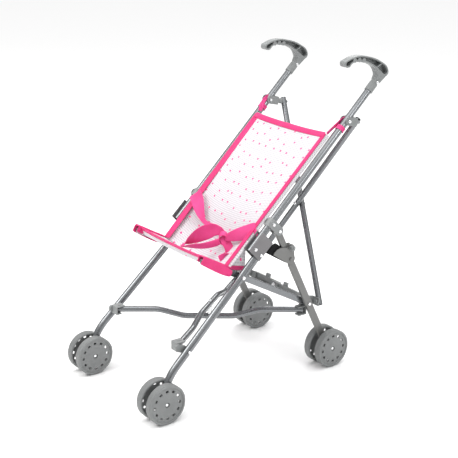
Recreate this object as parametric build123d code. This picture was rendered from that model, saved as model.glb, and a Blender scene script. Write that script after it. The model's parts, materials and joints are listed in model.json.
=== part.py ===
from build123d import *
import os
from math import atan2, cos, degrees, hypot, radians, sin

# Folding doll stroller, open and locked. Millimetres, +Z up, the front wheels towards -Y,
# +X on the seated doll's left. The origin is on the floor under the middle of the outline.
# A point of a side frame is written (y, z); "along" runs up a tube and "behind" is square to it.

# ---- wheels and axles
wheel_radius = 34.6
wheel_width = 14.0
wheel_rim = 4.0
wheel_disc = 2.2
wheel_recess = 1.8
wheel_hub_radius = 6.5
tread_round = 1.6
slot_count = 12
slot_inset = 6.8
slot_length = 5.6
slot_height = 4.0
axle_radius = 2.5
axle_cap_radius = 3.0
axle_cap_height = 1.6
cap_pocket_radius = 4.4
cap_pocket_depth = 4.6
hub_gap = 0.5

# ---- side frames
side_half = 108.0
front_splay = 7.5
tube_diameter = 13.0
tube_wall = 0.6
tube_spacing = 4.4
pivot_height = 255.4
upper_angle = 43.5
leg_angle = 42.2
leg_top = 12.0
leg_splay_start = -18.0
leg_bend_at = -248.5
leg_foot_angle = 66.0
leg_bend_radius = 85.0
foot_overhang = 7.0
upper_foot = -7.5
upper_length = 283.0
handle_overlap = 45.0
grip_at = 341.0
grip_width = 13.0
grip_wall = 2.0
handle_top = 30.0
socket_wall = 1.6
socket_length = 16.0
neck_step = 0.6
rail_bolt_at = -48.0
clevis_bolt_at = -200.5
collar_at = 52.0
collar_ear = 19.5
collar_half = 7.5
top_bolt_at = 275.0
grip_bolt_at = 20.0
sleeve_bolt_at = 0.0
sleeve_low = -9.0
sleeve_high = 29.5
sleeve_web_high = 16.0
sleeve_front = 2.0
sleeve_back = 4.5

# ---- rail, rear leg and lock
rail_length = 169.5
rail_slope = 29.4
rail_reach = 79.5
rail_height = 11.0
rail_thickness = 6.0
rail_gap = 1.0
rear_width = 13.0
rear_thickness = 7.0
knee_at = 103.9
link_width = 12.0
link_gap = 0.2
knee_gap = 0.5
knee_lobe = 9.0
plate_tip = 41.0
fan_tip = 53.5
sector_angle = 42.0
knob_along = 18.5
knob_behind = 9.5
knob_lobe = 6.5
knob_radius = 4.6
knob_height = 7.0

# ---- arms on the rear bolt and the clevises, laid side by side inwards from the rail
arm_gap = 0.6
clevis_arm = 5.0
bracket_arm = 4.3
bracket_eye = 7.0
bracket_web = 2.4
bracket_ear = 2.4
clevis_eye_radius = 6.0
clevis_eye_arm = 5.1
eye_gap = 0.5
clevis_side = 7.0
clevis_slack = 1.5
clevis_plate = 2.0
clevis_head = 1.1
clevis_room = 0.4
rear_pin_ahead = 7.3
rear_pin_gap = 1.75
front_pin = (-3.5, 5.6)

# ---- bars between the sides
bar_diameter = 10.5
bar_wall = 1.0
brace_top_inset = 2.0
brace_overhang = 7.0
boss_radius = 5.0
boss_height = 1.0
top_web_gap = 9.5
top_web = 2.5
top_bracket_half = 7.5
cross_rise = 10.5
cross_dip = 12.5
cross_bend_radius = 60.0
cross_overhang = 5.5
bush_radius = 3.8
spreader_eye = 5.5
spreader_height = 14.0
spreader_thickness = 5.0
spreader_depth = 8.5
spreader_taper = 16.0
spreader_wall = 1.6
spreader_flange = 2.0
spreader_lap = 7.0
tab_height = 7.0

# ---- sheet, bolts and clearances
plate = 1.7
bolt_radius = 1.75
head_radius = 3.2
head_height = 2.2
running = 0.05
side_gap = 0.25
layer_gap = 0.8
edge_round = 0.5
through = 20.0

# ---- seat cloth
cloth_inset = 9.0
cloth_thickness = 3.0
cloth_ahead = 4.0
cloth_top_at = 240.0
cloth_foot_at = 40.0
cloth_over_rail = 14.0

# ---- sizes that follow from those
tube_radius = tube_diameter / 2
bar_radius = bar_diameter / 2
handle_diameter = tube_diameter - 2 * tube_wall
socket_radius = handle_diameter / 2 + socket_wall
wheel_gap = tube_diameter + 2 * hub_gap
front_half = side_half + front_splay
leg_offset = tube_diameter + tube_spacing
link_thickness = rear_thickness - 2 * link_gap
tube_out = side_half + tube_radius
tube_in = side_half - tube_radius
cheek_gap = tube_radius + side_gap
cheek_out = cheek_gap + plate
cloth_half = tube_in - cloth_inset
bar_sweep = hypot(cross_overhang, bar_radius)
clevis_gap = bar_radius + side_gap
clevis_reach = clevis_gap + clevis_plate
clevis_web = bar_sweep + clevis_room
rear_pin = (-rear_pin_ahead, -(rail_height / 2 + rear_pin_gap + clevis_reach))

x_axis = Vector(1, 0, 0)


def step(point, angle, distance):
    """Point at a distance from another, in the side plane."""
    return (point[0] + distance * cos(radians(angle)), point[1] + distance * sin(radians(angle)))


def turn(start, end):
    """Direction from one point to another, in degrees above the rearward axis."""
    return degrees(atan2(end[1] - start[1], end[0] - start[0]))


def at(x, point):
    """Point of a side plane placed at x."""
    return Vector(x, point[0], point[1])


# ---- the side frame's pivots
pivot = (0.0, pivot_height)


def upper(along, behind=0.0):
    return step(step(pivot, upper_angle, along), upper_angle - 90, behind)


def leg(along, behind=0.0):
    return step(step(pivot, leg_angle, along), leg_angle - 90, leg_offset + behind)


def leg_x(along):
    """The leg tube leans outwards below the sleeve."""
    share = (leg_splay_start - along) / (leg_splay_start - leg_bend_at)
    return side_half + (front_half - side_half) * min(max(share, 0.0), 1.0)


collar_bolt = upper(collar_at)
link_bolt = upper(collar_at, collar_ear)
top_bolt = upper(top_bolt_at)
rail_bolt = leg(rail_bolt_at)
clevis_bolt = leg(clevis_bolt_at)
leg_bend = leg(leg_bend_at)
front_hub = step(leg_bend, leg_foot_angle, (wheel_radius - leg_bend[1]) / sin(radians(leg_foot_angle)))
rear_bolt = step(rail_bolt, -rail_slope, rail_length)
rear_angle = turn(rear_bolt, link_bolt)
knee = step(rear_bolt, rear_angle, knee_at)
rear_hub = step(rear_bolt, rear_angle, (wheel_radius - rear_bolt[1]) / sin(radians(rear_angle)))
rail_tip = step(rail_bolt, 180 - rail_slope, rail_reach)

# ---- layers of the left side, from the rail inwards
rail_inner_x = tube_in - rail_gap - rail_thickness
clevis_rear_out = rail_inner_x - arm_gap
clevis_rear_in = clevis_rear_out - clevis_arm
bracket_eye_out = clevis_rear_in - arm_gap
bracket_eye_in = bracket_eye_out - bracket_arm
spreader_half = bracket_eye_in - spreader_eye - 2 * side_gap
clevis_eye_out = leg_x(clevis_bolt_at) - tube_radius - eye_gap
clevis_eye_in = clevis_eye_out - clevis_eye_arm
cross_half = clevis_eye_in - bar_sweep - eye_gap
brace_top_half = side_half - brace_top_inset
brace_foot_half = side_half - rear_thickness / 2 - eye_gap - bracket_eye
top_web_at = tube_radius + top_web_gap
brace_front_depth = top_web_at + top_web + boss_height + side_gap + bar_radius

# ---- plane of the rear brace: down the line from the top bolt to the rear bolt, and behind it
brace_length = hypot(rear_bolt[0] - top_bolt[0], rear_bolt[1] - top_bolt[1])
brace_down = turn(top_bolt, rear_bolt)
brace_back = brace_down + 90
brace_rear_depth = brace_front_depth + bar_diameter + layer_gap
brace_cross = brace_length * brace_top_half / (brace_top_half + brace_foot_half)

# ---- plane of the cross bars: along the line between their upright pins, and above it
front_pin_at = (clevis_bolt[0] + front_pin[0], clevis_bolt[1] + front_pin[1])
rear_pin_at = (rear_bolt[0] + rear_pin[0], rear_bolt[1] + rear_pin[1])
cross_length = hypot(rear_pin_at[0] - front_pin_at[0], rear_pin_at[1] - front_pin_at[1])
cross_along = turn(front_pin_at, rear_pin_at)


def brace_point(x, down, back):
    return at(x, step(step(top_bolt, brace_down, down), brace_back, back))


def cross_point(x, along, above):
    return at(x, step(step(front_pin_at, cross_along, along), cross_along + 90, above))


cross_up = cross_point(0, 0, 1) - cross_point(0, 0, 0)
brace_square = brace_point(0, 0, 1) - brace_point(0, 0, 0)


# ---- shapes used throughout
def rod(start, end, radius):
    line = Vector(end) - Vector(start)
    return Solid.make_cylinder(radius, line.length, Plane(origin=start, z_dir=line))


def tube(start, end, diameter, wall):
    return rod(start, end, diameter / 2) - rod(start, end, diameter / 2 - wall)


def slab(points, x_low, x_high):
    """Plate parallel to the side plane."""
    face = Face(Wire.make_polygon([at(x_low, p) for p in points], close=True))
    return Solid.extrude(face, x_axis * (x_high - x_low))


def strip(start, end, radius, x_low, x_high):
    """Flat bar with round ends, parallel to the side plane."""
    angle = turn(start, end)
    corners = [step(start, angle + 90, radius), step(end, angle + 90, radius),
               step(end, angle - 90, radius), step(start, angle - 90, radius)]
    bar = slab(corners, x_low, x_high)
    for centre in (start, end):
        bar += rod(at(x_low, centre), at(x_high, centre), radius)
    return bar


def hole(point, x_low, x_high, radius=bolt_radius + running):
    return rod(at(x_low, point), at(x_high, point), radius)


def soften(shape, size=edge_round):
    """Round the long outer edges of a plate or bar."""
    return shape.fillet(size, shape.edges().filter_by(Axis.X, reverse=True))


def dome(point, direction, radius=head_radius, height=head_height):
    """Low round bolt head standing on a surface."""
    disc = Solid.make_cylinder(radius, height, Plane(origin=point, z_dir=direction))
    top = disc.edges().filter_by(GeomType.CIRCLE).sort_by(lambda e: Vector(e.center()).dot(direction))[-1]
    return disc.fillet(height * 0.6, [top])


def fastener(head, foot):
    """Bolt with a domed head at one end and a thin riveted end at the other."""
    line = (Vector(foot) - Vector(head)).normalized()
    shank = rod(head, foot, bolt_radius)
    return shank + dome(head, line * -1) + dome(foot, line, head_radius * 0.85, head_height * 0.7)


def cross_bolt(point, x_out, x_in):
    return fastener(at(x_out, point), at(x_in, point))


def swept_tube(path, diameter, wall):
    start = Plane(origin=path @ 0, z_dir=path % 0)
    outer = sweep(start * Circle(diameter / 2), path=path)
    return outer - sweep(start * Circle(diameter / 2 - wall), path=path)


# ---- wheels, turned about X at the origin, outer face towards +X
def wheel():
    half = wheel_width / 2
    rim_inner = wheel_radius - wheel_rim
    disc_outer = half - wheel_recess
    disc_inner = disc_outer - wheel_disc
    bore = axle_radius + running
    cap_floor = half - cap_pocket_depth
    profile = Polyline(
        (half, rim_inner), (half, wheel_radius - tread_round), (half - tread_round, wheel_radius),
        (tread_round - half, wheel_radius), (-half, wheel_radius - tread_round), (-half, rim_inner + edge_round),
        (disc_inner, rim_inner), (disc_inner, wheel_hub_radius), (-half, wheel_hub_radius),
        (-half, bore), (cap_floor, bore), (cap_floor, cap_pocket_radius), (disc_outer, cap_pocket_radius),
        (disc_outer, rim_inner - wheel_recess / 2), close=True)
    body = Solid.revolve(Face(Wire(profile.edges())), 360, Axis.X)
    slot_low = rim_inner - slot_inset - slot_height / 2
    for index in range(slot_count):
        slot = Solid.make_box(wheel_width * 2, slot_length, slot_height,
                              Plane(origin=(-wheel_width, -slot_length / 2, slot_low)))
        slot = slot.fillet(slot_height / 3, slot.edges().filter_by(Axis.X))
        body -= slot.rotate(Axis.X, 360 / slot_count * index)
    return body


def axle(x_mid, hub):
    half = wheel_gap / 2 + wheel_width
    recess = cap_pocket_depth - running
    left = at(x_mid - half + recess, hub)
    right = at(x_mid + half - recess, hub)
    return rod(left, right, axle_radius) + dome(left, x_axis * -1, axle_cap_radius, axle_cap_height) \
        + dome(right, x_axis, axle_cap_radius, axle_cap_height)


# ---- left side frame
def leg_tube():
    points = [at(side_half, leg(leg_top)), at(side_half, leg(leg_splay_start)),
              at(front_half, leg_bend), at(front_half, step(front_hub, leg_foot_angle, -foot_overhang))]
    path = FilletPolyline(*points, radius=leg_bend_radius)
    body = swept_tube(path, tube_diameter, tube_wall)
    for along in (sleeve_bolt_at, rail_bolt_at, clevis_bolt_at):
        body -= hole(leg(along), side_half - through, front_half + through, bolt_radius)
    return body - hole(front_hub, front_half - through, front_half + through, axle_radius)


def leg_block(low, high, front, back):
    """Corners of a block beside the leg tube: along it, and behind the upper tube's line."""
    return [step(step(pivot, leg_angle, along), leg_angle - 90, behind)
            for along, behind in ((low, front), (high, front), (high, back), (low, back))]


def sleeve():
    """Two cheeks over both tubes, joined by a web that the upper tube's foot swings clear of."""
    corners = leg_block(sleeve_low, sleeve_high, -tube_radius - sleeve_front, leg_offset + sleeve_back)
    foot_sweep = hypot(upper_foot, tube_radius) + side_gap
    body = slab(leg_block(foot_sweep, sleeve_web_high, tube_radius + layer_gap,
                          leg_offset - tube_radius - side_gap), side_half - cheek_out, side_half + cheek_out)
    for x in (side_half + cheek_gap, side_half - cheek_out):
        body += slab(corners, x, x + plate)
    for point in (pivot, leg(sleeve_bolt_at)):
        body -= hole(point, side_half - through, side_half + through, bolt_radius)
    return body


def leg_bolts():
    out = side_half + cheek_out
    inner = side_half - cheek_out
    bolts = [cross_bolt(pivot, out, inner), cross_bolt(leg(sleeve_bolt_at), out, inner)]
    for point, along, inner_face in ((rail_bolt, rail_bolt_at, rail_inner_x),
                                     (clevis_bolt, clevis_bolt_at, clevis_eye_in)):
        bolts.append(cross_bolt(point, leg_x(along) + tube_radius + side_gap, inner_face - side_gap))
    return Compound(bolts)


def upper_tube():
    body = tube(at(side_half, upper(upper_foot)), at(side_half, upper(upper_length)),
                tube_diameter, tube_wall)
    body -= hole(pivot, side_half - through, side_half + through)
    for along in (collar_at, top_bolt_at):
        body -= hole(upper(along), side_half - through, side_half + through, bolt_radius)
    return body


def handle_tube():
    body = tube(at(side_half, upper(upper_length - handle_overlap)),
                at(side_half, upper(grip_at + handle_top)), handle_diameter, tube_wall)
    for along in (top_bolt_at, grip_at + grip_bolt_at):
        body -= hole(upper(along), side_half - through, side_half + through, bolt_radius)
    return body


def grip():
    """Hooked grip: a C section open towards +X on both handles, over a round socket."""
    half = grip_width / 2
    outer = [(40, 7.2), (48.5, 7.0), (53.3, -3), (51.3, -16.6), (46.6, -31), (37.5, -48), (25, -64.5), (12, -75),
             (0, -80.5)]
    nose = [(-7, -81), (-9.3, -77), (-6, -70.3)]
    inner = [(-1.5, -68.5), (5, -68.3), (12.5, -64), (20.5, -55), (26.5, -45.5), (31.5, -33.5), (34, -24),
             (33, -16), (29.5, -8)]
    pocket_outer = [(41.5, 3.5), (48.0, 4.0), (51.2, -3.6), (49.3, -16), (44.7, -30), (35.8, -46.7), (23.5, -62.8),
                    (11.2, -72.8), (0.5, -78.2)]
    pocket_nose = [(-4.5, -78.7), (-6.6, -76.4), (-4.6, -72.7)]
    pocket_inner = [(-1, -70.8), (6, -70.7), (14, -65.9), (22.4, -56.4), (28.6, -46.6), (33.6, -34.4), (36.2, -25)]

    def spot(a, b):
        return upper(grip_at + a, b)

    def outline(x, outer_run, nose_run, inner_run, foot):
        def placed(run):
            return [at(x, spot(a, b)) for a, b in run]
        back = Edge.make_spline(placed(outer_run))
        end = Edge.make_spline(placed([outer_run[-1]] + nose_run + [inner_run[0]]))
        front = Edge.make_spline(placed(inner_run))
        closing = [Edge.make_line(front @ 1, at(x, spot(*foot[0]))),
                   Edge.make_line(at(x, spot(*foot[0])), at(x, spot(*foot[1]))),
                   Edge.make_line(at(x, spot(*foot[1])), back @ 0)]
        return Face(Wire([back, end, front] + closing))

    body = Solid.extrude(outline(side_half - half, outer, nose, inner, ((22, -5), (22, 5))), x_axis * grip_width)
    pocket = outline(side_half - half + grip_wall, pocket_outer, pocket_nose, pocket_inner, ((37, -22), (40, 1)))
    body -= Solid.extrude(pocket, x_axis * 2 * grip_width)
    for a, b in ((9.5, -66), (17, -58.8), (23, -50.5)):
        centre = spot(a + 2.3, b - 2)
        body += rod(at(side_half - half, centre), at(side_half + half, centre), 4.0)
    body += slab([spot(34.5, -21.5), spot(48.5, -17.5), spot(48, -15.7), spot(34, -19.7)],
                 side_half - half, side_half + half - edge_round)
    body += rod(at(side_half, spot(0, 0)), at(side_half, spot(socket_length, 0)), socket_radius)
    body += rod(at(side_half, spot(socket_length, 0)), at(side_half, spot(handle_top + 4, 0)),
                socket_radius - neck_step)
    body -= rod(at(side_half, spot(-1, 0)), at(side_half, spot(handle_top, 0)), handle_diameter / 2)
    return body - hole(spot(grip_bolt_at, 0), side_half - through, side_half + through, bolt_radius)


def collar():
    """Strap round the upper tube whose two ears hold the lock link."""
    ring_low, ring_high = collar_at - collar_half, collar_at + collar_half
    body = rod(at(side_half, upper(ring_low)), at(side_half, upper(ring_high)), cheek_out)
    for x in (side_half + cheek_gap, side_half - cheek_out):
        body += strip(collar_bolt, link_bolt, collar_half, x, x + plate)
    body -= rod(at(side_half, upper(ring_low - 1)), at(side_half, upper(ring_high + 1)), tube_radius)
    for point in (collar_bolt, link_bolt):
        body -= hole(point, side_half - through, side_half + through, bolt_radius)
    return body


def upper_bolts():
    out = side_half + cheek_out
    inner = side_half - cheek_out
    bolts = [cross_bolt(point, out, inner) for point in (collar_bolt, link_bolt)]
    bolts.append(cross_bolt(top_bolt, out + side_gap, inner - side_gap))
    neck = socket_radius - neck_step
    bolts.append(cross_bolt(upper(grip_at + grip_bolt_at), side_half + neck, side_half - neck))
    return Compound(bolts)


def top_bracket(back):
    """Cheeks on the top bolt, a web behind the tube and a boss that carries one brace bar."""
    half = top_bracket_half
    web_end = top_web_at + top_web

    def block(front, rear, x_low, x_high):
        return slab([step(step(top_bolt, brace_back, n), brace_down, s)
                     for n, s in ((front, -half), (rear, -half), (rear, half), (front, half))], x_low, x_high)

    body = block(top_web_at, web_end, side_half - cheek_out, side_half + cheek_out)
    for x in (side_half + cheek_gap, side_half - cheek_out):
        body += rod(at(x, top_bolt), at(x + plate, top_bolt), half) + block(0, web_end, x, x + plate)
    face = back - bar_radius - side_gap
    body += rod(brace_point(brace_top_half, 0, top_web_at + 1), brace_point(brace_top_half, 0, face), boss_radius)
    body -= hole(top_bolt, side_half - through, side_half + through)
    pin_end = back + bar_radius + side_gap
    pin = rod(brace_point(brace_top_half, 0, face - 1), brace_point(brace_top_half, 0, pin_end), bolt_radius)
    return body + pin + dome(brace_point(brace_top_half, 0, pin_end), brace_square)


def side_rail():
    body = soften(strip(rail_tip, rear_bolt, rail_height / 2, rail_inner_x, rail_inner_x + rail_thickness), 1.2)
    for point in (rail_bolt, rear_bolt):
        radius = bolt_radius + running if point == rail_bolt else bolt_radius
        body -= hole(point, rail_inner_x - through, rail_inner_x + through, radius)
    return body


def rail_bolts():
    """Rear bolt, with a spacer between the rail and the rear leg."""
    spacer = rod(at(rail_inner_x + rail_thickness, rear_bolt),
                 at(side_half - rear_thickness / 2 - side_gap, rear_bolt), bush_radius)
    return spacer + cross_bolt(rear_bolt, side_half + rear_thickness / 2 + side_gap, bracket_eye_in - side_gap)


def rear_leg():
    top = step(knee, rear_angle, -(link_width / 2 + knee_gap + rear_width / 2))
    foot = step(rear_hub, rear_angle, -2 * axle_radius)
    x_low, x_high = side_half - rear_thickness / 2, side_half + rear_thickness / 2
    body = soften(strip(top, foot, rear_width / 2, x_low, x_high), 1.6)
    body -= hole(rear_bolt, x_low - through, x_high + through)
    return body - hole(rear_hub, x_low - through, x_high + through, axle_radius)


def sector(reach, knob_reach):
    """Outline from the knee's lobe along a straight lower edge to a tip, then curving back to the knob."""
    def spot(spread, distance):
        return step(knee, rear_angle + spread, distance)
    return [spot(sector_angle + 85, knee_lobe), spot(sector_angle, reach), spot(sector_angle - 6, reach * 0.985),
            spot(sector_angle - 15, reach * 0.93), spot(sector_angle - 27, reach * 0.81), spot(-3, knob_reach)]


def lock_plates():
    """Sector plates on both faces of the rear leg's top, with round lobes for the rivet and the catch."""
    catch = catch_centre()
    outline = sector(plate_tip, knob_along + knob_lobe) + [step(catch, rear_angle - 90, knob_lobe),
                                                           step(knee, rear_angle - 90, knee_lobe)]
    plates = []
    for x, way in ((side_half + rear_thickness / 2, 1), (side_half - rear_thickness / 2 - plate, -1)):
        face = slab(outline, x, x + plate)
        face += rod(at(x, knee), at(x + plate, knee), knee_lobe)
        face += rod(at(x, catch), at(x + plate, catch), knob_lobe)
        face += dome(at(x + plate if way > 0 else x, knee), x_axis * way)
        plates.append(face)
    return Compound(plates)


def catch_centre():
    return step(step(knee, rear_angle, knob_along), rear_angle - 90, knob_behind)


def lock_knob():
    x = side_half + rear_thickness / 2 + plate
    centre = catch_centre()
    body = Solid.make_cylinder(knob_radius, knob_height, Plane(origin=at(x, centre), z_dir=x_axis))
    body = body.fillet(2 * edge_round, [body.edges().sort_by(Axis.X)[-1]])
    return body + dome(at(x + knob_height, centre), x_axis, head_radius * 0.85)


def link_blank(grown):
    """The link's outline, a little longer through X when it is used as a cutter."""
    return strip(link_bolt, knee, link_width / 2, side_half - link_thickness / 2 - grown,
                 side_half + link_thickness / 2 + grown)


def upper_link():
    return soften(link_blank(0), 1.4) - hole(link_bolt, side_half - through, side_half + through)


def lock_fan():
    """Dark wedge fixed to the link; it swings between the sector plates."""
    outline = sector(fan_tip, link_width)
    body = slab([step(knee, rear_angle + sector_angle + 40, knee_lobe + 3.0)] + outline[1:],
                side_half - link_thickness / 2, side_half + link_thickness / 2)
    return body - link_blank(1)


# ---- brackets that turn on the rear bolt and the front clevis
def brace_block(front, rear, half, x_low, x_high):
    """Block beside the rear bolt: its depth behind the bolt, and half its height."""
    return slab([step(step(rear_bolt, brace_back, n), brace_down, s)
                 for n, s in ((front, -half), (rear, -half), (rear, half), (front, half))], x_low, x_high)


def rear_bracket(back, spreader_front):
    """Eye on the rear bolt, an arm behind it, a boss for a brace bar and an ear for the spreader."""
    face = back - bar_radius - side_gap
    foot = brace_length
    arm_end = step(rear_bolt, brace_back, face - bracket_web)
    body = strip(rear_bolt, arm_end, bracket_eye, bracket_eye_in, bracket_eye_out)
    body -= brace_block(face, face + through, through, bracket_eye_in - 1, bracket_eye_out + 1)
    body += brace_block(face - bracket_web, face, bracket_eye, bracket_eye_in, brace_foot_half + bracket_eye)
    ear_front = spreader_depth - side_gap - bracket_ear
    body += brace_block(ear_front, ear_front + bracket_ear, bracket_eye, spreader_half - spreader_eye,
                        bracket_eye_out)
    body += dome(brace_point(brace_foot_half, foot, face - bracket_web), brace_square * -1)
    body -= hole(rear_bolt, bracket_eye_in - through, bracket_eye_out + through)
    root = brace_point(spreader_half, foot, ear_front + 1)
    near = spreader_front - side_gap
    if near > ear_front + bracket_ear + edge_round:
        body += rod(root, brace_point(spreader_half, foot, near), boss_radius - 1)
    pin_end = brace_point(spreader_half, foot, spreader_front + spreader_thickness + side_gap)
    return body + rod(root, pin_end, bolt_radius) + dome(pin_end, brace_square, head_radius, 1.4)


def clevis(pin_along, web_sign, x_low, x_high, slack=0.0):
    """Upper and lower plates round an upright pin, joined by a web beyond the bar's end."""
    web_end = clevis_web + clevis_plate
    foot_gap = clevis_gap + slack
    foot_reach = foot_gap + clevis_plate

    def block(near, far, low, high):
        corners = [cross_point(x, pin_along + web_sign * along, low)
                   for x, along in ((x_low, near), (x_high, near), (x_high, far), (x_low, far))]
        return Solid.extrude(Face(Wire.make_polygon(corners, close=True)), cross_up * (high - low))

    body = block(clevis_web, web_end, -foot_reach, clevis_reach)
    for low, high in ((clevis_gap, clevis_reach), (-foot_reach, -foot_gap)):
        body += block(-clevis_side, web_end, low, high)
    body += dome(cross_point(cross_half, pin_along, clevis_reach), cross_up, head_radius, clevis_head)
    return body + dome(cross_point(cross_half, pin_along, -foot_reach), cross_up * -1, head_radius, clevis_head)


def front_clevis(with_pin):
    body = clevis(0, -1, cross_half - clevis_side, clevis_eye_in + 1)
    foot = step(front_pin_at, cross_along, -clevis_web - 1)
    body += strip(clevis_bolt, foot, clevis_eye_radius, clevis_eye_in, clevis_eye_out)
    if with_pin:
        body += rod(cross_point(cross_half, 0, -clevis_gap - 1), cross_point(cross_half, 0, clevis_gap + 1),
                    bolt_radius)
    body -= hole(clevis_bolt, clevis_eye_in - through, clevis_eye_in, head_radius + edge_round)
    return body - hole(clevis_bolt, clevis_eye_in - through, clevis_eye_in + through)


def rear_clevis():
    neck = step(step(rear_pin_at, cross_along, clevis_web), cross_along + 90, clevis_gap)
    above = [step(step(rear_pin_at, cross_along, along), cross_along + 90, height)
             for along, height in ((-through, clevis_gap), (2 * through, clevis_gap),
                                   (2 * through, 3 * through), (-through, 3 * through))]
    arm = strip(rear_bolt, neck, clevis_eye_radius, clevis_rear_in, clevis_rear_out)
    body = arm & slab(above, clevis_rear_in - 1, clevis_rear_out + 1)
    body += clevis(cross_length, 1, clevis_rear_in, cross_half + clevis_side, clevis_slack)
    return body - hole(rear_bolt, clevis_rear_in - through, clevis_rear_out + through)


# ---- bars across the back
def brace_bar(side, back):
    """Straight bar from the top on one side to the foot on the other."""
    top = brace_point(side * brace_top_half, 0, back)
    foot = brace_point(-side * brace_foot_half, brace_length, back)
    line = (foot - top).normalized()
    body = tube(top - line * brace_overhang, foot + line * brace_overhang, bar_diameter, bar_wall)
    middle = brace_point(0, brace_cross, back)
    for centre, radius in ((top, bolt_radius + running), (middle, bolt_radius + running * (side < 0))):
        body -= rod(centre - brace_square * through, centre + brace_square * through, radius)
    return body


def brace_bolt():
    front = brace_front_depth - bar_radius
    rear = brace_rear_depth + bar_radius + side_gap
    return fastener(brace_point(0, brace_cross, front), brace_point(0, brace_cross, rear))


def cross_bar(side, bow):
    """Bar from the front pin on one side to the rear pin on the other, bowed past its twin."""
    overhang = cross_overhang / hypot(cross_length, 2 * cross_half)
    stations = [(-overhang, 0), (0.22, 0), (0.36, bow), (0.64, bow), (0.78, 0), (1 + overhang, 0)]
    points = [cross_point(side * cross_half * (1 - 2 * share), share * cross_length, above)
              for share, above in stations]
    body = swept_tube(FilletPolyline(*points, radius=cross_bend_radius), bar_diameter, bar_wall)
    if side > 0:
        front = cross_point(side * cross_half, 0, 0)
        body -= rod(front - cross_up * through, front + cross_up * through, bolt_radius + running)
    middle = cross_point(0, cross_length / 2, 0)
    reach = cross_up * 2 * through
    return body - rod(middle - reach, middle + reach, bolt_radius + running * (side < 0))


def cross_bolt_middle():
    """Bolt through both bars with a bush between them."""
    half = cross_length / 2
    bolt = fastener(cross_point(0, half, cross_rise + bar_radius),
                    cross_point(0, half, -cross_dip - bar_radius - side_gap))
    return bolt + rod(cross_point(0, half, cross_rise - bar_radius), cross_point(0, half, bar_radius - cross_dip),
                      bush_radius)


def spreader(side, front):
    """One half of the folding spreader: a shallow channel open to the front, with a foot tab."""
    half = spreader_height / 2
    back = front + spreader_thickness
    pin_x = spreader_half

    def panel(corners, depth_low, depth_high):
        face = Face(Wire.make_polygon([brace_point(side * x, brace_length + s, depth_low) for x, s in corners],
                                      close=True))
        return Solid.extrude(face, brace_square * (depth_high - depth_low))

    def block(x_low, x_high, low, high, depth_low, depth_high):
        return panel(((x_low, low), (x_high, low), (x_high, high), (x_low, high)), depth_low, depth_high)

    body = panel(((-spreader_lap, -half), (pin_x - spreader_taper, -half), (pin_x, -spreader_eye),
                  (pin_x, spreader_eye), (pin_x - spreader_taper, half), (-spreader_lap, half)), front, back)
    pin_low = brace_point(side * pin_x, brace_length, front)
    pin_high = brace_point(side * pin_x, brace_length, back)
    body += rod(pin_low, pin_high, spreader_eye)
    body -= block(spreader_lap + 3, pin_x - spreader_taper, spreader_flange - half, half - spreader_flange,
                  front - 1, back - spreader_wall)
    body += block(24, 34, -half - tab_height, 1 - half, front + 1, back)
    return body - rod(pin_low - brace_square * through, pin_low + brace_square * through, bolt_radius + running)


def spreader_pin():
    return dome(brace_point(0, brace_length, spreader_depth), brace_square * -1, 4.6, 2.4)


# ---- seat cloth: one thick sheet with straight runs, shaped as the sling hangs
def seat_cloth():
    ahead = tube_radius + cloth_ahead
    run = [upper(cloth_top_at, -ahead), upper(cloth_foot_at, -ahead),
           (rail_bolt[0] + cloth_over_rail / 2, rail_bolt[1] + cloth_over_rail),
           (rail_bolt[0] - 2 * cloth_over_rail, rail_bolt[1] + cloth_over_rail), step(rail_tip, 90, 1.0)]
    under = []
    for index, point in enumerate(run):
        before = run[max(index - 1, 0)]
        after = run[min(index + 1, len(run) - 1)]
        under.append(step(point, turn(before, after) + 90, cloth_thickness))
    return slab(run + under[::-1], -cloth_half, cloth_half)


def mirrored(shape):
    return shape.mirror(Plane.YZ)


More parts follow.
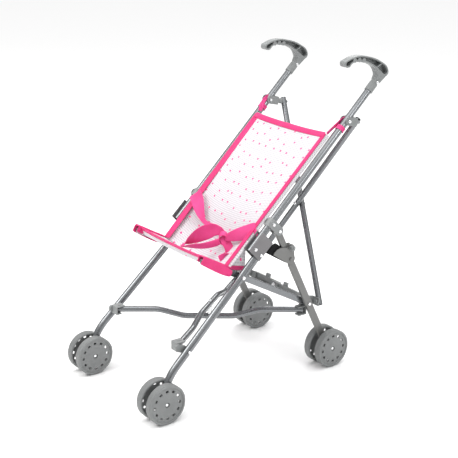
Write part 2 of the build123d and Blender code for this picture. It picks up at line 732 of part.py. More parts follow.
def parts():
    """Every node's shape before the origin is set."""
    made = {}
    front_layer, rear_layer = spreader_depth, spreader_depth + spreader_thickness + side_gap * 2
    same = {"leg_tube": leg_tube, "sleeve": sleeve, "leg_bolts": leg_bolts, "upper_tube": upper_tube,
            "handle_tube": handle_tube, "collar": collar, "upper_bolts": upper_bolts,
            "side_rail": side_rail, "rail_bolt": rail_bolts, "rear_leg": rear_leg,
            "lock_plates": lock_plates, "lock_knob": lock_knob, "upper_link": upper_link,
            "lock_fan": lock_fan, "rear_clevis": rear_clevis}
    for name, build in same.items():
        shape = build()
        made[name + "_left"] = shape
        made[name + "_right"] = mirrored(shape)
    hook = grip()
    made["grip_left"] = hook
    made["grip_right"] = hook.moved(Location((-2 * side_half, 0, 0)))
    made["front_clevis_left"] = front_clevis(True)
    made["front_clevis_right"] = mirrored(front_clevis(False))
    made["top_bracket_left"] = top_bracket(brace_front_depth)
    made["top_bracket_right"] = mirrored(top_bracket(brace_rear_depth))
    made["rear_bracket_left"] = rear_bracket(brace_rear_depth, front_layer)
    made["rear_bracket_right"] = mirrored(rear_bracket(brace_front_depth, rear_layer))
    made["brace_bar_left"] = brace_bar(1, brace_front_depth)
    made["brace_bar_right"] = brace_bar(-1, brace_rear_depth)
    made["brace_bolt"] = brace_bolt()
    made["cross_bar_left"] = cross_bar(1, cross_rise)
    made["cross_bar_right"] = cross_bar(-1, -cross_dip)
    made["cross_bolt"] = cross_bolt_middle()
    made["spreader_left"] = spreader(1, front_layer)
    made["spreader_right"] = spreader(-1, rear_layer)
    made["spreader_pin"] = spreader_pin()
    made["seat_cloth"] = seat_cloth()
    offset = (wheel_gap + wheel_width) / 2
    disc = wheel()
    for end, x_mid, hub in (("front", front_half, front_hub), ("rear", side_half, rear_hub)):
        rod_shape = axle(x_mid, hub)
        made[end + "_axle_left"] = rod_shape
        made[end + "_axle_right"] = mirrored(rod_shape)
        outer = disc.moved(Location(at(x_mid + offset, hub)))
        inner = disc.mirror(Plane.YZ).moved(Location(at(x_mid - offset, hub)))
        made[end + "_wheel_left_outer"] = outer
        made[end + "_wheel_left_inner"] = inner
        made[end + "_wheel_right_outer"] = mirrored(outer)
        made[end + "_wheel_right_inner"] = mirrored(inner)
    return made


made = parts()
boxes = [shape.bounding_box() for shape in made.values()]
middle = (min(box.min.Y for box in boxes) + max(box.max.Y for box in boxes)) / 2
os.makedirs("parts", exist_ok=True)
for name, shape in made.items():
    export_step(shape.moved(Location((0, -middle, 0))), "parts/" + name + ".step")
print("nodes", len(made), "middle", round(middle, 4))
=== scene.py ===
import bpy
import bmesh
import json
from math import cos, pi, radians, sin
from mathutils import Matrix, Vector, noise


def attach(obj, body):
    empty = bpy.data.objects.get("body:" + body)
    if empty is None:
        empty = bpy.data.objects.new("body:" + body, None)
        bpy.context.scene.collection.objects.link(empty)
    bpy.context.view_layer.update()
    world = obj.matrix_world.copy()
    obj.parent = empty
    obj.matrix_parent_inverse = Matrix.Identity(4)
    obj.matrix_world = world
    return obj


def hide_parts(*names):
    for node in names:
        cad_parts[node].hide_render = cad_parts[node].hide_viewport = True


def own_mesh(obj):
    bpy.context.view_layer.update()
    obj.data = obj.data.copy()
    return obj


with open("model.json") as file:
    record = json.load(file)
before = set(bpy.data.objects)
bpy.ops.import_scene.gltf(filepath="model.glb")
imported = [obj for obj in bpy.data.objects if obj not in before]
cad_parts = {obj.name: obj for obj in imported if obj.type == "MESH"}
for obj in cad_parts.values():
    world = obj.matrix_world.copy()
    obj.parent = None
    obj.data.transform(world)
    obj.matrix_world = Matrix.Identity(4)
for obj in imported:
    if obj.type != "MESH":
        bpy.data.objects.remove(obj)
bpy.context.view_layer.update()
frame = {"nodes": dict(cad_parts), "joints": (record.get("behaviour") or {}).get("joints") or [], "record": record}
mm = 0.001


# ---------- places taken from the frame
jointAt = {joint["name"]: Vector(joint["pos_m"]) for joint in frame["joints"] if "pos_m" in joint}
pivot = jointAt["fold"]                      # sleeve pivot, left side
topBolt = jointAt["top_bracket_pivot_left"]
railBolt = jointAt["rail_pivot_left"]
rearBolt = jointAt["rear_leg_pivot_left"]
sideX = pivot.x
across = Vector((1, 0, 0))
upTube = (topBolt - pivot).normalized()      # up the left upper tube
behindTube = Vector((0, upTube.z, -upTube.y))
alongRail = (railBolt - rearBolt).normalized()     # up and forward along the seat rail
overRail = Vector((0, -alongRail.z, alongRail.y)) * -1


def sidePoint(x, along, behind=0.0):
    # a point by the upper tube, in millimetres up the tube from the pivot and behind it
    spot = pivot + upTube * along * mm + behindTube * behind * mm
    return Vector((x * mm, spot.y, spot.z))


def bench(x, y, z):
    # a point in millimetres: across, behind the sleeve pivots and above the floor
    return Vector((x * mm, pivot.y + y * mm, z * mm))


def curveThrough(points, count):
    # even steps along a smooth line through a few vectors of any length
    def blend(a, b, c, d, t):
        return [0.5 * (2 * q + (r - p) * t + (2 * p - 5 * q + 4 * r - s) * t * t
                       + (3 * q - p - 3 * r + s) * t * t * t) for p, q, r, s in zip(a, b, c, d)]
    ends = [[2 * a - b for a, b in zip(points[0], points[1])]] + [list(p) for p in points] \
        + [[2 * a - b for a, b in zip(points[-1], points[-2])]]
    fine = []
    for i in range(len(points) - 1):
        fine += [blend(*ends[i:i + 4], step / 24) for step in range(24)]
    fine.append(list(points[-1]))
    reach = [0.0]
    for a, b in zip(fine, fine[1:]):
        reach.append(reach[-1] + (Vector(b[:3]) - Vector(a[:3])).length)
    even, k = [], 0
    for i in range(count):
        goal = reach[-1] * i / (count - 1)
        while k < len(reach) - 2 and reach[k + 1] < goal:
            k += 1
        share = (goal - reach[k]) / max(reach[k + 1] - reach[k], 1e-9)
        even.append([a + (b - a) * share for a, b in zip(fine[k], fine[k + 1])])
    return even, reach[-1]


# ---------- camera, lights and floor
camera = {"azimuth": 53.79, "elevation": 18.64, "distance": 1.9029, "lens": 89.3,
          "aim": (64.1, -16.3, 280.6)}
azimuth, elevation = radians(camera["azimuth"]), radians(camera["elevation"])
away = Vector((sin(azimuth) * cos(elevation), -cos(azimuth) * cos(elevation), sin(elevation)))
cameraData = bpy.data.cameras.new("camera")
cameraData.lens = camera["lens"]
cameraObject = bpy.data.objects.new("camera", cameraData)
bpy.context.scene.collection.objects.link(cameraObject)
cameraObject.location = bench(*camera["aim"]) + away * camera["distance"]
cameraObject.rotation_mode = "QUATERNION"
cameraObject.rotation_quaternion = (-away).to_track_quat("-Z", "Y")
bpy.context.scene.camera = cameraObject
print("camera set")

lamps = [  # name, place, size, watts, colour
    ("keyLight", (-0.5, -1.5, 1.9), 1.0, 22.0, (1.0, 0.99, 0.98)),
    ("sideLight", (2.1, 0.3, 1.2), 0.5, 8.0, (0.98, 0.99, 1.0)),
    ("rimLight", (-1.2, 1.5, 1.6), 0.8, 12.0, (1.0, 1.0, 1.0)),
    ("topLight", (0.2, 0.0, 2.3), 1.6, 20.0, (1.0, 1.0, 1.0)),
]
for name, place, size, watts, colour in lamps:
    lampData = bpy.data.lights.new(name, "AREA")
    lampData.size = size
    lampData.energy = watts
    lampData.color = colour
    lamp = bpy.data.objects.new(name, lampData)
    lamp.location = place
    lamp.rotation_mode = "QUATERNION"
    lamp.rotation_quaternion = (Vector((0, 0, 0.25)) - Vector(place)).to_track_quat("-Z", "Y")
    bpy.context.scene.collection.objects.link(lamp)

world = bpy.data.worlds.new("studio")
world.use_nodes = True
sky = world.node_tree
skyPlace = sky.nodes.new("ShaderNodeTexCoord")
skySplit = sky.nodes.new("ShaderNodeSeparateXYZ")
skyTone = sky.nodes.new("ShaderNodeMapRange")     # darker at the horizon, so tubes keep their edges
for index, value in ((1, 0.05), (2, 0.75), (3, 0.22), (4, 1.15)):
    skyTone.inputs[index].default_value = value
sky.links.new(skyPlace.outputs["Generated"], skySplit.inputs[0])
sky.links.new(skySplit.outputs[2], skyTone.inputs[0])
sky.links.new(skyTone.outputs[0], sky.nodes["Background"].inputs["Color"])
sky.nodes["Background"].inputs["Strength"].default_value = 1.0
bpy.context.scene.world = world
bpy.context.scene.view_settings.view_transform = "Standard"


# ---------- materials
class Paint:
    # one material and short ways to add nodes to it
    def __init__(self, name, colour, roughness, metallic=0.0):
        self.material = bpy.data.materials.new(name)
        self.material.use_nodes = True
        self.tree = self.material.node_tree
        self.shader = self.tree.nodes["Principled BSDF"]
        self.shader.inputs["Base Color"].default_value = (*colour, 1)
        self.shader.inputs["Roughness"].default_value = roughness
        self.shader.inputs["Metallic"].default_value = metallic
        self.material.diffuse_color = (*colour, 1)
        self.place = self.tree.nodes.new("ShaderNodeTexCoord")
        self.height = None

    def node(self, kind, links=(), **values):
        made = self.tree.nodes.new("ShaderNode" + kind)
        for key, value in values.items():
            if key in ("operation", "blend_type", "data_type", "feature", "distance", "voronoi_dimensions",
                       "noise_dimensions", "wave_type", "bands_direction", "wave_profile"):
                setattr(made, key, value)
            else:
                made.inputs[int(key[1:]) if key[1:].isdigit() else key].default_value = value
        for socket, source in links:
            self.tree.links.new(source, made.inputs[socket])
        return made

    def noise(self, scale, detail=3.0, source="Object"):
        return self.node("TexNoise", [("Vector", self.place.outputs[source])], Scale=scale, Detail=detail)

    def math(self, operation, a, b=None, c=None):
        made = self.node("Math", operation=operation)
        for index, value in enumerate((a, b, c)):
            if value is None:
                continue
            if isinstance(value, (int, float)):
                made.inputs[index].default_value = value
            else:
                self.tree.links.new(value, made.inputs[index])
        return made.outputs[0]

    def mixColours(self, factor, first, second):
        made = self.node("Mix", data_type="RGBA")
        self.tree.links.new(factor, made.inputs[0])
        for index, value in ((6, first), (7, second)):
            if isinstance(value, tuple):
                made.inputs[index].default_value = (*value, 1)
            else:
                self.tree.links.new(value, made.inputs[index])
        return made.outputs[2]

    def spread(self, value, low, high):
        made = self.node("MapRange", _1=0.3, _2=0.7, _3=low, _4=high)
        self.tree.links.new(value, made.inputs[0])
        return made.outputs[0]

    def colour(self, socket):
        self.tree.links.new(socket, self.shader.inputs["Base Color"])

    def rough(self, socket):
        self.tree.links.new(socket, self.shader.inputs["Roughness"])

    def bump(self, socket, distance, strength=1.0):
        made = self.node("Bump", [("Height", socket)], Distance=distance, Strength=strength)
        if self.height:
            self.tree.links.new(self.height, made.inputs["Normal"])
        self.height = made.outputs["Normal"]
        self.tree.links.new(self.height, self.shader.inputs["Normal"])


def mottled(paint, light, dark, scale):
    # a gentle change of tone over the surface
    cloud = paint.noise(scale, 2.0).outputs["Fac"]
    paint.colour(paint.mixColours(paint.spread(cloud, 0.0, 1.0), dark, light))
    return cloud


def metalPaint(name, light, dark, roughness, metallic):
    paint = Paint(name, light, roughness, metallic)
    mottled(paint, light, dark, 14.0)
    patches = paint.noise(30.0, 1.0).outputs["Fac"]
    paint.rough(paint.spread(patches, roughness - 0.03, roughness + 0.04))
    paint.shader.inputs["Coat Weight"].default_value = 0.35
    paint.shader.inputs["Coat Roughness"].default_value = 0.12
    return paint.material


def mouldedPlastic(name, light, dark, roughness):
    paint = Paint(name, light, roughness)
    mottled(paint, light, dark, 22.0)
    grain = paint.noise(1400.0, 2.0).outputs["Fac"]
    paint.rough(paint.spread(paint.noise(90.0).outputs["Fac"], roughness - 0.06, roughness + 0.08))
    paint.bump(grain, 0.00003, 0.35)
    return paint


def wheelPlastic(name, hub):
    # moulded plastic with fine rings turned round the tread and the face
    paint = mouldedPlastic(name, (0.215, 0.222, 0.222), (0.175, 0.182, 0.182), 0.5)
    split = paint.node("SeparateXYZ", [(0, paint.place.outputs["Object"])])
    y = paint.math("SUBTRACT", split.outputs[1], hub.y)
    z = paint.math("SUBTRACT", split.outputs[2], hub.z)
    radius = paint.math("SQRT", paint.math("ADD", paint.math("MULTIPLY", y, y), paint.math("MULTIPLY", z, z)))
    tread = paint.math("GREATER_THAN", radius, 0.0335)
    grooves = paint.math("SINE", paint.math("MULTIPLY", split.outputs[0], 2 * pi / 0.0016))
    rings = paint.math("SINE", paint.math("MULTIPLY", radius, 2 * pi / 0.0022))
    paint.bump(paint.math("MULTIPLY", grooves, tread), 0.00022, 0.8)
    paint.bump(paint.math("MULTIPLY", rings, paint.math("SUBTRACT", 1.0, tread)), 0.00005, 0.5)
    return paint.material


def boltSteel():
    paint = Paint("boltSteel", (0.80, 0.81, 0.82), 0.22, 1.0)
    mottled(paint, (0.84, 0.85, 0.86), (0.66, 0.67, 0.68), 300.0)
    paint.bump(paint.noise(1500.0, 2.0).outputs["Fac"], 0.00003, 0.5)
    return paint.material


def seatMesh():
    # white knitted mesh: rows of small holes, painted darker as painted shade in the openings, with pink specks
    # printed here and there
    weave = {"pitch": 0.0035, "speck": 0.0205, "speckSize": 0.082}
    paint = Paint("seatMesh", (0.90, 0.885, 0.90), 0.85)
    split = paint.node("SeparateXYZ", [(0, paint.place.outputs["UV"])])
    column = paint.math("MULTIPLY", split.outputs[0], 2 * pi / weave["pitch"])
    row = paint.math("MULTIPLY", split.outputs[1], 2 * pi / weave["pitch"])
    shifted = paint.math("ADD", column, paint.math("MULTIPLY", row, 0.5))
    holes = paint.math("MULTIPLY", paint.math("MULTIPLY_ADD", paint.math("SINE", shifted), 0.5, 0.5),
                       paint.math("MULTIPLY_ADD", paint.math("SINE", row), 0.5, 0.5))
    scaled = paint.node("VectorMath", [(0, paint.place.outputs["UV"])], operation="SCALE",
                        Scale=1 / weave["speck"])
    cells = paint.node("TexVoronoi", [("Vector", scaled.outputs[0])], voronoi_dimensions="2D",
                       distance="CHEBYCHEV", feature="F1", Scale=1.0, Randomness=0.5)
    speck = paint.math("LESS_THAN", cells.outputs["Distance"], weave["speckSize"])
    # the holes take the darker grey: painted shade in the openings of the knit
    cloth = paint.mixColours(paint.math("MULTIPLY", holes, 0.9), (0.69, 0.672, 0.695), (0.34, 0.32, 0.36))
    paint.colour(paint.mixColours(speck, cloth, (0.86, 0.045, 0.25)))
    paint.bump(holes, -0.0004, 0.8)
    paint.bump(paint.noise(60.0, 3.0, "UV").outputs["Fac"], 0.0006, 0.5)
    paint.shader.inputs["Sheen Weight"].default_value = 0.25
    paint.shader.inputs["Sheen Roughness"].default_value = 0.5
    return paint.material


def wovenTape(name, colour, shade, rib=0.0009):
    # flat woven tape: ribs across it, its tone changing with the weave and at random
    paint = Paint(name, colour, 0.62)
    split = paint.node("SeparateXYZ", [(0, paint.place.outputs["UV"])])
    ribs = paint.math("SINE", paint.math("MULTIPLY", split.outputs[1], 2 * pi / rib))
    threads = paint.math("SINE", paint.math("MULTIPLY", split.outputs[0], 2 * pi / (rib * 0.8)))
    cloth = paint.math("MULTIPLY_ADD", paint.math("MULTIPLY", ribs, threads), 0.18, 0.3)
    worn = paint.math("ADD", cloth, paint.spread(paint.noise(35.0, 3.0).outputs["Fac"], -0.18, 0.3))
    paint.colour(paint.mixColours(worn, colour, shade))
    paint.bump(paint.math("ADD", ribs, threads), 0.00012, 0.7)
    paint.shader.inputs["Sheen Weight"].default_value = 0.15
    paint.shader.inputs["Sheen Roughness"].default_value = 0.4
    paint.shader.inputs["Sheen Tint"].default_value = (1.0, 0.35, 0.6, 1)
    return paint.material


tubePaint = metalPaint("tubePaint", (0.205, 0.213, 0.222), (0.172, 0.18, 0.188), 0.25, 0.8)
barPaint = metalPaint("barPaint", (0.175, 0.175, 0.171), (0.145, 0.145, 0.141), 0.36, 0.45)
boltMetal = boltSteel()
gripPlastic = mouldedPlastic("gripPlastic", (0.235, 0.245, 0.245), (0.20, 0.21, 0.21), 0.48).material
jointPlastic = mouldedPlastic("jointPlastic", (0.185, 0.178, 0.185), (0.155, 0.15, 0.155), 0.42).material
bracketPlastic = mouldedPlastic("bracketPlastic", (0.25, 0.26, 0.26), (0.21, 0.22, 0.22), 0.42).material
darkPaint = mouldedPlastic("darkPlastic", (0.007, 0.007, 0.008), (0.004, 0.004, 0.005), 0.6)
darkPaint.shader.inputs["Specular IOR Level"].default_value = 0.12
darkPlastic = darkPaint.material
frontWheel = wheelPlastic("frontWheel", jointAt["front_wheel_left_outer_spin"])
rearWheel = wheelPlastic("rearWheel", jointAt["rear_wheel_left_outer_spin"])
meshCloth = seatMesh()
pinkBinding = wovenTape("pinkBinding", (0.80, 0.035, 0.215), (0.64, 0.015, 0.13))
pinkTape = wovenTape("pinkTape", (0.84, 0.075, 0.30), (0.68, 0.02, 0.17), 0.0012)

finishOf = {"tube_paint": tubePaint, "flat_bar_paint": barPaint, "fastener_steel": boltMetal,
            "grip_plastic": gripPlastic, "joint_plastic": jointPlastic, "dark_plastic": darkPlastic,
            "bracket_plastic": bracketPlastic, "seat_mesh": meshCloth}
slotOf = {row["node"]: row["material_slot"] for row in frame["record"]["subparts"]}
for node, cadObject in frame["nodes"].items():
    finish = finishOf.get(slotOf[node])
    if slotOf[node] == "wheel_plastic":
        finish = frontWheel if node.startswith("front") else rearWheel
    cadObject.data.materials.clear()
    cadObject.data.materials.append(finish)
print("frame painted", len(frame["nodes"]))

floorMesh = bmesh.new()
bmesh.ops.create_grid(floorMesh, x_segments=1, y_segments=1, size=60.0)
floorData = bpy.data.meshes.new("floor")
floorMesh.to_mesh(floorData)
floorMesh.free()
floor = bpy.data.objects.new("floor", floorData)
bpy.context.scene.collection.objects.link(floor)
floorPaint = Paint("floorPaper", (0.97, 0.97, 0.97), 0.95)
floorPaint.bump(floorPaint.noise(40.0).outputs["Fac"], 0.0001, 0.2)
floorData.materials.append(floorPaint.material)


def softPiece(piece, body):
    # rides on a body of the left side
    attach(piece, body)
    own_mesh(piece)
    return piece


def gridPiece(name, columns, rows, place, flatPlace, material, thickness, smooth=1):
    # a grid laid along a surface: place and flatPlace take two shares from 0 to 1
    shape = bmesh.new()
    bmesh.ops.create_grid(shape, x_segments=columns, y_segments=rows, size=1.0)
    shape.verts.ensure_lookup_table()
    shares = {vert.index: ((vert.co.x + 1) / 2, (vert.co.y + 1) / 2) for vert in shape.verts}
    layer = shape.loops.layers.uv.new("UVMap")
    for face in shape.faces:
        for loop in face.loops:
            loop[layer].uv = flatPlace(*shares[loop.vert.index])
    for vert in shape.verts:
        vert.co = place(*shares[vert.index])
    for face in shape.faces:
        face.smooth = True
    data = bpy.data.meshes.new(name)
    shape.to_mesh(data)
    shape.free()
    data.materials.append(material)
    piece = bpy.data.objects.new(name, data)
    bpy.context.scene.collection.objects.link(piece)
    if thickness:
        solid = piece.modifiers.new("thickness", "SOLIDIFY")
        solid.thickness = thickness
        solid.offset = 0.0
    if smooth:
        rounded = piece.modifiers.new("rounded", "SUBSURF")
        rounded.levels = smooth
        rounded.render_levels = smooth
    return piece


def ribbon(name, rows, material, thickness=0.0011, crown=0.0, columns=4, pitch=0.005):
    # a strap along rows of (point, direction across it, width), smoothed; crown lifts its middle
    points = [[*point, *direction, width] for point, direction, width in rows]
    length = curveThrough(points, 2)[1]
    count = max(6, int(length / pitch))
    lines, length = curveThrough(points, count + 1)
    centres = [Vector(line[:3]) for line in lines]

    def place(u, v):
        index = min(int(round(v * count)), count)
        centre = centres[index]
        tangent = centres[min(index + 1, count)] - centres[max(index - 1, 0)]
        direction = Vector(lines[index][3:6])
        direction = (direction - tangent.normalized() * direction.dot(tangent.normalized())).normalized()
        normal = direction.cross(tangent.normalized())
        lift = crown * (1 - (2 * u - 1) ** 2)
        return centre + direction * (u - 0.5) * lines[index][6] + normal * lift

    def flatPlace(u, v):
        return (u * rows[0][2], v * length)

    return gridPiece(name, columns, count, place, flatPlace, material, thickness)


# the sling hangs between two edge lines and a middle line, each a few points (x, y, z) in metres,
# given as distances along and in front of the left upper tube and along the rail
seat = {"topHalf": 97.0, "footHalf": 93.0, "topAlong": 236.0, "frontOff": 10.0, "flap": 11.0,
        "thickness": 0.0007}


def halfWidth(share):
    return (seat["topHalf"] + (seat["footHalf"] - seat["topHalf"]) * share) * mm


def railPoint(x, forward, over=0.0):
    # a point by the rail, in millimetres forward of its bolt and over it
    spot = railBolt + alongRail * forward * mm + overRail * over * mm
    return Vector((x * mm, spot.y, spot.z))


edgeTop = sidePoint(0, seat["topAlong"], -seat["frontOff"])
edgeCorner = railPoint(0, 25.0, 6.5)
edgeSplit = edgeTop.lerp(edgeCorner, 0.806)
edgeTip = railPoint(0, 78.0, 6.0)
middleTop = edgeTop + Vector((0, -0.003, -0.002))
middleLines = {
    "back": [middleTop, sidePoint(0, 152, -9), sidePoint(0, 96, -6), sidePoint(0, 42, -1),
             sidePoint(0, 8, 7), sidePoint(0, -10, 12)],
    "dip": [sidePoint(0, -10, 12), sidePoint(0, -24, 13), railPoint(0, 6, -2.0)],
    "base": [railPoint(0, 6, -2.0), railPoint(0, 24, -7.5), railPoint(0, 52, -5.5), railPoint(0, 80, 3.5)],
}
edgeLines = {"back": [edgeTop, edgeSplit], "dip": [edgeSplit, edgeCorner], "base": [edgeCorner, edgeTip]}
sagPower = {"back": 2.6, "dip": 2.2, "base": 2.4}
everyMiddle = middleLines["back"] + middleLines["dip"][1:] + middleLines["base"][1:]


def slingLine(part, rows):
    # the middle line of one part, cut from one smooth line so that neighbours meet smoothly
    fine, length = curveThrough(everyMiddle, 1200)
    points = [Vector(p) for p in fine]

    def nearest(goal):
        return min(range(len(points)), key=lambda i: (points[i] - goal).length)

    first, last = nearest(middleLines[part][0]), nearest(middleLines[part][-1])
    return [points[first + round((last - first) * i / rows)] for i in range(rows + 1)]


def slingPart(name, part, rows, flangeOut, flangeBack, body, flapRows=0):
    middles = slingLine(part, rows)
    edgeStart, edgeEnd = edgeLines[part]
    offset = {"back": 0.0, "dip": 0.29, "base": 0.36}[part]
    reach = (middles[-1] - middles[0]).length
    flange = 1.07

    def place(u, v):
        side = (2 * u - 1) * flange
        fullRows = rows + flapRows
        row = v * fullRows
        index = min(int(round(row)), rows)
        share = index / rows
        edge = edgeStart.lerp(edgeEnd, share)
        middle = middles[index]
        inner = min(abs(side), 1.0)
        spot = edge.lerp(middle, 1 - inner ** sagPower[part])
        over = max(abs(side) - 1.0, 0.0) / (flange - 1.0)
        spread = max(-1.0, min(side, 1.0))
        x = halfWidth(share if part == "base" else share * 0.8) * spread
        x += (flangeOut if side > 0 else -flangeOut) * over * mm
        spot = spot + flangeBack * over * mm
        if row > rows:
            fold = (row - rows) / max(flapRows, 1)
            spot = spot + Vector((0, 0.0012 * fold, -seat["flap"] * mm * fold))
        ripple = noise.noise(Vector((side * 2.3, (offset + share) * 5.1, 4.0)))
        fine = noise.noise(Vector((side * 7.0, (offset + share) * 13.0, 9.0)))
        calm = max(0.0, 1 - inner ** 4) * min(1.0, 0.25 + abs(offset - 0.0) * 2.2)
        lift = (ripple * 1.7 + fine * 0.6) * calm * mm
        return Vector((x, spot.y - lift * 0.5, spot.z + lift))

    def flatPlace(u, v):
        return ((2 * u - 1) * halfWidth(0.5) * flange, offset - v * reach * (rows + flapRows) / rows)

    piece = gridPiece(name, 44, rows + flapRows, place, flatPlace, meshCloth, seat["thickness"])
    softPiece(piece, body)
    return piece


seatBack = slingPart("seatBack", "back", 56, 4.5, behindTube * 6.0, "upper_left")
seatDip = slingPart("seatDip", "dip", 14, 3.0, behindTube * 5.0, "leg_left")
seatBase = slingPart("seatBase", "base", 18, 2.0, overRail * -3.0, "rail_left", 3)
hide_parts("seat_cloth")
print("sling made")


def sheetArea(piece):
    return sum(face.area for face in piece.data.polygons)


for piece, flatWidth in ((seatBack, 0.203), (seatDip, 0.200), (seatBase, 0.198)):
    sheetArea(piece) / flatWidth


# ---------- pink bindings along the sling's edges
binding = {"width": 0.0088, "topWidth": 0.0112, "frontWidth": 0.0064, "thickness": 0.0022}


def edgeBinding(name, start, end, x0, x1, body, width, inward=0.35, steps=6):
    # a folded tape over one long edge of the sling
    rows = []
    side = 1 if x0 > 0 else -1
    for i in range(steps + 1):
        share = i / steps
        spot = start.lerp(end, share)
        x = x0 + (x1 - x0) * share - side * width * inward
        rows.append((Vector((x, spot.y, spot.z)), across * side, width))
    piece = ribbon(name, rows, pinkBinding, binding["thickness"], 0.0012 * side, 5, 0.008)
    return softPiece(piece, body)


overEdge = behindTube * -0.0006
railBands = {"topX": 97.5, "topOver": 7.6, "innerX": 92.6, "innerOver": 2.6, "outerX": 103.4, "width": 0.0125,
             "topForward": (20, 36, 52, 70, 88), "innerForward": (30, 50, 70, 88),
             "roll": ((18, -1.5, 11), (30, -1.2, 15), (50, 0, 17), (72, 1.0, 16), (88, 1.8, 15))}
bandWidths = {"Left": 0.0078, "Right": 0.0148}     # the right one is rolled flat, the left one curls over
for sideName, side in (("Left", 1), ("Right", -1)):
    topX, splitX, cornerX = side * halfWidth(0), side * halfWidth(0.8), side * halfWidth(1.0)
    width = bandWidths[sideName]
    lap = (edgeSplit - edgeTop).normalized() * 0.004
    edgeBinding("backBinding" + sideName, edgeTop + overEdge, edgeSplit + overEdge + lap, topX, splitX,
                "upper_left", width)
    edgeBinding("dipBinding" + sideName, edgeSplit + overEdge - lap, edgeCorner + overEdge, splitX, cornerX,
                "leg_left", width)
    # over the rail: a band along its top and a rolled hem down its outer face
    topRows = [(railPoint(side * railBands["topX"], forward, railBands["topOver"]), across * side,
                railBands["width"]) for forward in railBands["topForward"]]
    rollRows = [(railPoint(side * railBands["outerX"], forward, over), overRail * -1, width * mm)
                for forward, over, width in railBands["roll"]]
    innerRows = [(railPoint(side * railBands["innerX"], forward, railBands["innerOver"]), overRail * -1,
                  railBands["width"]) for forward in railBands["innerForward"]]
    for bandName, bandRows, crown, pitch in (("baseBinding", topRows, 0.0006, 0.008),
                                             ("baseInner", innerRows, 0.0003, 0.008),
                                             ("baseRoll", rollRows, -0.0016, 0.006)):
        band = ribbon(bandName + sideName, bandRows, pinkBinding, binding["thickness"], crown * side, 5, pitch)
        softPiece(band, "rail_left")


def crossBinding(name, line, drop, body, width):
    # a tape across the sling: line gives the sling's point for a share from left to right
    rows = [(line(i / 12), drop, width) for i in range(13)]
    piece = ribbon(name, rows, pinkBinding, binding["thickness"], 0.0006, 5, 0.008)
    return softPiece(piece, body)


def topLine(share):
    side = 2 * share - 1
    spot = edgeTop.lerp(middleTop, 1 - abs(side) ** 2.6)
    return Vector((side * halfWidth(0), spot.y, spot.z)) - upTube * binding["width"] * 0.42 + overEdge


def frontLine(share):
    side = 2 * share - 1
    spot = edgeTip.lerp(middleLines["base"][-1], 1 - abs(side) ** 2.4)
    return Vector((side * 0.1035, spot.y - 0.0016, spot.z + 0.0006))


crossBinding("topBinding", topLine, -upTube, "upper_left", binding["topWidth"])
crossBinding("frontBinding", frontLine, Vector((0, -0.35, 0.94)), "rail_left", binding["frontWidth"])


# ---------- side strips: a mesh triangle under each back edge, with a bound lower edge
strip = {"rear": (-4.3, 219.0), "sink": 0.0012}
for sideName, side in (("Left", 1), ("Right", -1)):
    stripRear = Vector((0, pivot.y + strip["rear"][0] * mm, strip["rear"][1] * mm))
    x = side * halfWidth(0.9)

    def stripPlace(u, v, x=x, side=side, rear=stripRear):
        low = edgeCorner.lerp(rear, u)
        high = edgeCorner.lerp(edgeSplit, u)
        spot = low.lerp(high, v)
        return Vector((x - side * strip["sink"] * sin(pi * u) * sin(pi * v) * 2, spot.y, spot.z))

    def stripFlat(u, v):
        return (u * 0.04, v * 0.03 * u)

    sideStrip = gridPiece("sideStrip" + sideName, 12, 8, stripPlace, stripFlat, meshCloth, seat["thickness"])
    softPiece(sideStrip, "leg_left")
    rows = [(Vector((x + side * 0.0006, spot.y, spot.z)), Vector((0, 0.15, 1)), 0.0075)
            for spot in [edgeCorner.lerp(stripRear, i / 5) + Vector((0, 0, -0.002)) for i in range(6)]]
    softPiece(ribbon("stripBinding" + sideName, rows, pinkBinding, binding["thickness"], 0.0005, 5, 0.006),
              "leg_left")
print("bindings made")


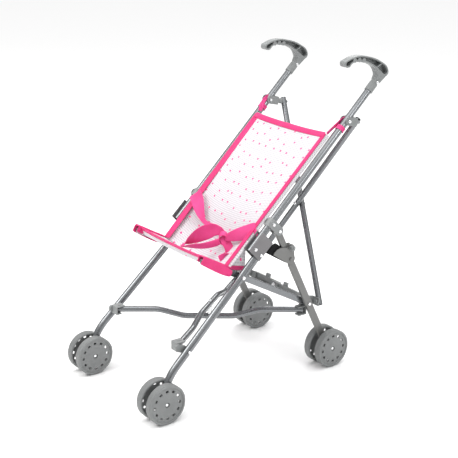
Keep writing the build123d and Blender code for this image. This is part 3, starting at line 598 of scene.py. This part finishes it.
# ---------- harness: a loop from the front hem and a strap from each side, knotted on the seat
strapThickness = 0.0012
seen = (0.0, 0.3, 0.95)      # a strap standing on its edge, turned over by its knot
straps = {  # rows of (point in millimetres, direction across the strap, width in millimetres)
    "crotchTop": [
        ((6, -74, 245), (1, 0.1, 0.3), 15), ((8, -63, 252), (0.5, 0.3, 0.8), 21),
        ((11, -45, 259), (0.15, 0.35, 0.9), 26), ((15, -29, 264), seen, 27),
        ((20, -17, 267), seen, 23), ((27, -9, 265), seen, 16),
        ((34, -5, 260), seen, 10)],
    "crotchUnder": [
        ((36, -9, 254), seen, 9), ((28, -17, 246), seen, 12),
        ((18, -37, 242), (0.4, 0.2, 0.9), 13), ((12, -60, 245), (0.8, 0.1, 0.6), 15),
        ((7, -76, 246), (1, 0.1, 0.3), 15)],
    "waistFar": [
        ((-86, 18, 301), (0.5, 0.6, 0.6), 25), ((-74, 14, 294), (0.6, 0.6, 0.4), 25),
        ((-62, 9, 286), (0.65, 0.65, 0.3), 22), ((-47, 3, 275), (0.6, 0.75, 0.2), 15),
        ((-32, -1, 267), (0.6, 0.75, 0.2), 9), ((-12, -4, 265), (0.2, 0.6, 0.7), 10),
        ((6, -7, 265), (0.1, 0.4, 0.9), 13), ((24, -10, 263), seen, 13)],
    "waistNear": [
        ((97, 17, 282), (-0.2, 0.45, 0.9), 27), ((88, 10, 277), (-0.2, 0.35, 0.95), 27),
        ((74, 0, 271), (-0.1, 0.2, 1), 23), ((58, -8, 264), (-0.1, 0.2, 0.95), 17),
        ((44, -10, 258), (-0.1, 0.2, 0.95), 10)],
    "waistTail": [
        ((40, -14, 260), (0.6, 0.8, 0.1), 11), ((47, -11, 252), (0.6, 0.8, 0.1), 15),
        ((54, -9, 243), (0.6, 0.7, 0.3), 16), ((57, -12, 235), (0.5, 0.5, 0.6), 16),
        ((56, -20, 230), (0.2, 0.4, 0.9), 15), ((53, -29, 226), (0.1, 0.4, 0.9), 13)],
    "knotWrap": [
        ((41 + 5 * cos(angle), -11 + 5 * cos(angle), 257 + 9 * sin(angle)), (-0.6, 0.5, 0.3), 13)
        for angle in [2 * pi * turn / 10 for turn in range(11)]],
}
for strapName, rows in straps.items():
    placed = [(bench(*spot), Vector(direction), width * mm) for spot, direction, width in rows]
    softPiece(ribbon(strapName, placed, pinkTape, strapThickness, 0.0009, 5, 0.003), "leg_left")

# short loops that hold the sling's top corners to the upper tubes
for sideName, side, tiePoints in (
        ("Left", 1, [(97, 166, 424), (101, 181, 437), (103, 192, 445), (106, 201, 449)]),
        ("Right", -1, [(-97, 172, 428), (-102, 184, 444), (-105, 196, 450), (-108, 204, 450)])):
    placed = [(bench(*spot), Vector((0.35 * side, 0.2, 0.9)), 0.008) for spot in tiePoints]
    softPiece(ribbon("cornerTie" + sideName, placed, pinkTape, strapThickness, 0.0006, 5, 0.003),
              "upper_left")
    ring = sidePoint(side * sideX / mm, 257.0)
    placed = []
    for turn in range(13):
        angle = 2 * pi * turn / 12
        out = across * cos(angle) + behindTube * sin(angle)
        placed.append((ring + out * 0.0078, upTube, 0.0085))
    tubeLoop = ribbon("tubeLoop" + sideName, placed, pinkTape, strapThickness, 0.0005, 5, 0.003)
    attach(tubeLoop, "upper_" + sideName.lower())
print("harness made")
